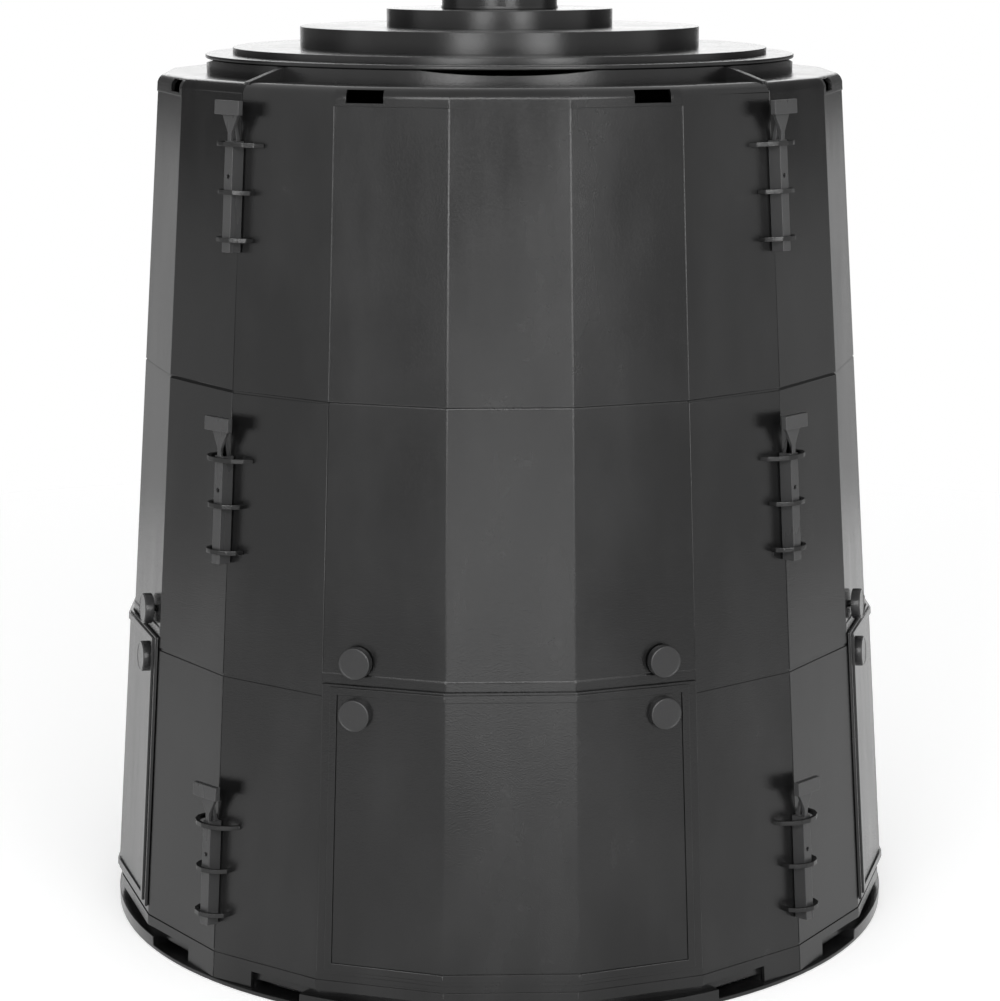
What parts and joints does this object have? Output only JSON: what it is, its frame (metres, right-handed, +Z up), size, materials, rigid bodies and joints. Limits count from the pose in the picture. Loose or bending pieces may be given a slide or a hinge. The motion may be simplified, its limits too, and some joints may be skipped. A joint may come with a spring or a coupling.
{
  "type": "compost bin",
  "caption": "Tapered many-sided compost bin of clipped wall panels on a vented base, with a stepped lift-off lid and a removable emptying door in each wall.",
  "frame": {"origin": "on the ground under the middle of the base", "axes": "+Z up, the front wall faces -Y, +X to the right seen from the front"},
  "size_m": [0.803, 0.803, 0.94],
  "materials": {
    "wall_plastic": "satin black, moulded",
    "lid_plastic": "satin black, moulded",
    "base_plastic": "satin black, moulded",
    "fitting_plastic": "satin black, a little lighter",
    "screw_steel": "zinc plated"
  },
  "bodies": {
    "bin": {"base_ring": "base_plastic", "base_floor": "base_plastic", "wall_front": "wall_plastic", "wall_right": "wall_plastic", "wall_back": "wall_plastic", "wall_left": "wall_plastic"},
    "door_front": {"door_front": "wall_plastic", "door_grips_front": "fitting_plastic"},
    "latch_front_left": {"latch_knob_front_left": "fitting_plastic", "latch_tongue_front_left": "fitting_plastic"},
    "latch_front_right": {"latch_knob_front_right": "fitting_plastic", "latch_tongue_front_right": "fitting_plastic"},
    "door_right": {"door_right": "wall_plastic", "door_grips_right": "fitting_plastic"},
    "latch_right_left": {"latch_knob_right_left": "fitting_plastic", "latch_tongue_right_left": "fitting_plastic"},
    "latch_right_right": {"latch_knob_right_right": "fitting_plastic", "latch_tongue_right_right": "fitting_plastic"},
    "door_back": {"door_back": "wall_plastic", "door_grips_back": "fitting_plastic"},
    "latch_back_left": {"latch_knob_back_left": "fitting_plastic", "latch_tongue_back_left": "fitting_plastic"},
    "latch_back_right": {"latch_knob_back_right": "fitting_plastic", "latch_tongue_back_right": "fitting_plastic"},
    "door_left": {"door_left": "wall_plastic", "door_grips_left": "fitting_plastic"},
    "latch_left_left": {"latch_knob_left_left": "fitting_plastic", "latch_tongue_left_left": "fitting_plastic"},
    "latch_left_right": {"latch_knob_left_right": "fitting_plastic", "latch_tongue_left_right": "fitting_plastic"},
    "pin_front_right_upper_body": {"pin_front_right_upper": "fitting_plastic"},
    "pin_front_right_middle_body": {"pin_front_right_middle": "fitting_plastic"},
    "pin_front_right_lower_body": {"pin_front_right_lower": "fitting_plastic"},
    "pin_back_right_upper_body": {"pin_back_right_upper": "fitting_plastic"},
    "pin_back_right_middle_body": {"pin_back_right_middle": "fitting_plastic"},
    "pin_back_right_lower_body": {"pin_back_right_lower": "fitting_plastic"},
    "pin_back_left_upper_body": {"pin_back_left_upper": "fitting_plastic"},
    "pin_back_left_middle_body": {"pin_back_left_middle": "fitting_plastic"},
    "pin_back_left_lower_body": {"pin_back_left_lower": "fitting_plastic"},
    "pin_front_left_upper_body": {"pin_front_left_upper": "fitting_plastic"},
    "pin_front_left_middle_body": {"pin_front_left_middle": "fitting_plastic"},
    "pin_front_left_lower_body": {"pin_front_left_lower": "fitting_plastic"},
    "lid": {"lid": "lid_plastic", "lid_knob": "lid_plastic", "lid_knob_screw": "screw_steel"}
  },
  "joints": [
    {"name": "door_front_out", "type": "slide", "parent": "bin", "child": "door_front", "axis": [0, -1, 0], "range_m": [0, 0.14]},
    {"name": "latch_front_left_turn", "type": "hinge", "parent": "bin", "child": "latch_front_left", "pos_m": [-0.13947, -0.34673, 0.334], "axis": [0.3083, 0.9487, -0.0699], "range_deg": [0, 90]},
    {"name": "latch_front_right_turn", "type": "hinge", "parent": "bin", "child": "latch_front_right", "pos_m": [0.13947, -0.34673, 0.334], "axis": [0.3083, -0.9487, 0.0699], "range_deg": [0, 90]},
    {"name": "door_right_out", "type": "slide", "parent": "bin", "child": "door_right", "axis": [1, 0, 0], "range_m": [0, 0.14]},
    {"name": "latch_right_left_turn", "type": "hinge", "parent": "bin", "child": "latch_right_left", "pos_m": [0.34673, -0.13947, 0.334], "axis": [-0.9487, 0.3083, -0.0699], "range_deg": [0, 90]},
    {"name": "latch_right_right_turn", "type": "hinge", "parent": "bin", "child": "latch_right_right", "pos_m": [0.34673, 0.13947, 0.334], "axis": [0.9487, 0.3083, 0.0699], "range_deg": [0, 90]},
    {"name": "door_back_out", "type": "slide", "parent": "bin", "child": "door_back", "axis": [0, 1, 0], "range_m": [0, 0.14]},
    {"name": "latch_back_left_turn", "type": "hinge", "parent": "bin", "child": "latch_back_left", "pos_m": [0.13947, 0.34673, 0.334], "axis": [-0.3083, -0.9487, -0.0699], "range_deg": [0, 90]},
    {"name": "latch_back_right_turn", "type": "hinge", "parent": "bin", "child": "latch_back_right", "pos_m": [-0.13947, 0.34673, 0.334], "axis": [-0.3083, 0.9487, 0.0699], "range_deg": [0, 90]},
    {"name": "door_left_out", "type": "slide", "parent": "bin", "child": "door_left", "axis": [-1, 0, 0], "range_m": [0, 0.14]},
    {"name": "latch_left_left_turn", "type": "hinge", "parent": "bin", "child": "latch_left_left", "pos_m": [-0.34673, 0.13947, 0.334], "axis": [0.9487, -0.3083, -0.0699], "range_deg": [0, 90]},
    {"name": "latch_left_right_turn", "type": "hinge", "parent": "bin", "child": "latch_left_right", "pos_m": [-0.34673, -0.13947, 0.334], "axis": [-0.9487, -0.3083, 0.0699], "range_deg": [0, 90]},
    {"name": "pin_front_right_upper_lift", "type": "slide", "parent": "bin", "child": "pin_front_right_upper_body", "axis": [-0.05, 0.05, 0.9975], "range_m": [0, 0.11]},
    {"name": "pin_front_right_middle_lift", "type": "slide", "parent": "bin", "child": "pin_front_right_middle_body", "axis": [-0.05, 0.05, 0.9975], "range_m": [0, 0.11]},
    {"name": "pin_front_right_lower_lift", "type": "slide", "parent": "bin", "child": "pin_front_right_lower_body", "axis": [-0.05, 0.05, 0.9975], "range_m": [0, 0.11]},
    {"name": "pin_back_right_upper_lift", "type": "slide", "parent": "bin", "child": "pin_back_right_upper_body", "axis": [-0.05, -0.05, 0.9975], "range_m": [0, 0.11]},
    {"name": "pin_back_right_middle_lift", "type": "slide", "parent": "bin", "child": "pin_back_right_middle_body", "axis": [-0.05, -0.05, 0.9975], "range_m": [0, 0.11]},
    {"name": "pin_back_right_lower_lift", "type": "slide", "parent": "bin", "child": "pin_back_right_lower_body", "axis": [-0.05, -0.05, 0.9975], "range_m": [0, 0.11]},
    {"name": "pin_back_left_upper_lift", "type": "slide", "parent": "bin", "child": "pin_back_left_upper_body", "axis": [0.05, -0.05, 0.9975], "range_m": [0, 0.11]},
    {"name": "pin_back_left_middle_lift", "type": "slide", "parent": "bin", "child": "pin_back_left_middle_body", "axis": [0.05, -0.05, 0.9975], "range_m": [0, 0.11]},
    {"name": "pin_back_left_lower_lift", "type": "slide", "parent": "bin", "child": "pin_back_left_lower_body", "axis": [0.05, -0.05, 0.9975], "range_m": [0, 0.11]},
    {"name": "pin_front_left_upper_lift", "type": "slide", "parent": "bin", "child": "pin_front_left_upper_body", "axis": [0.05, 0.05, 0.9975], "range_m": [0, 0.11]},
    {"name": "pin_front_left_middle_lift", "type": "slide", "parent": "bin", "child": "pin_front_left_middle_body", "axis": [0.05, 0.05, 0.9975], "range_m": [0, 0.11]},
    {"name": "pin_front_left_lower_lift", "type": "slide", "parent": "bin", "child": "pin_front_left_lower_body", "axis": [0.05, 0.05, 0.9975], "range_m": [0, 0.11]},
    {"name": "lid_lift", "type": "slide", "parent": "bin", "child": "lid", "axis": [0, 0, 1], "range_m": [0, 0.15]}
  ]
}
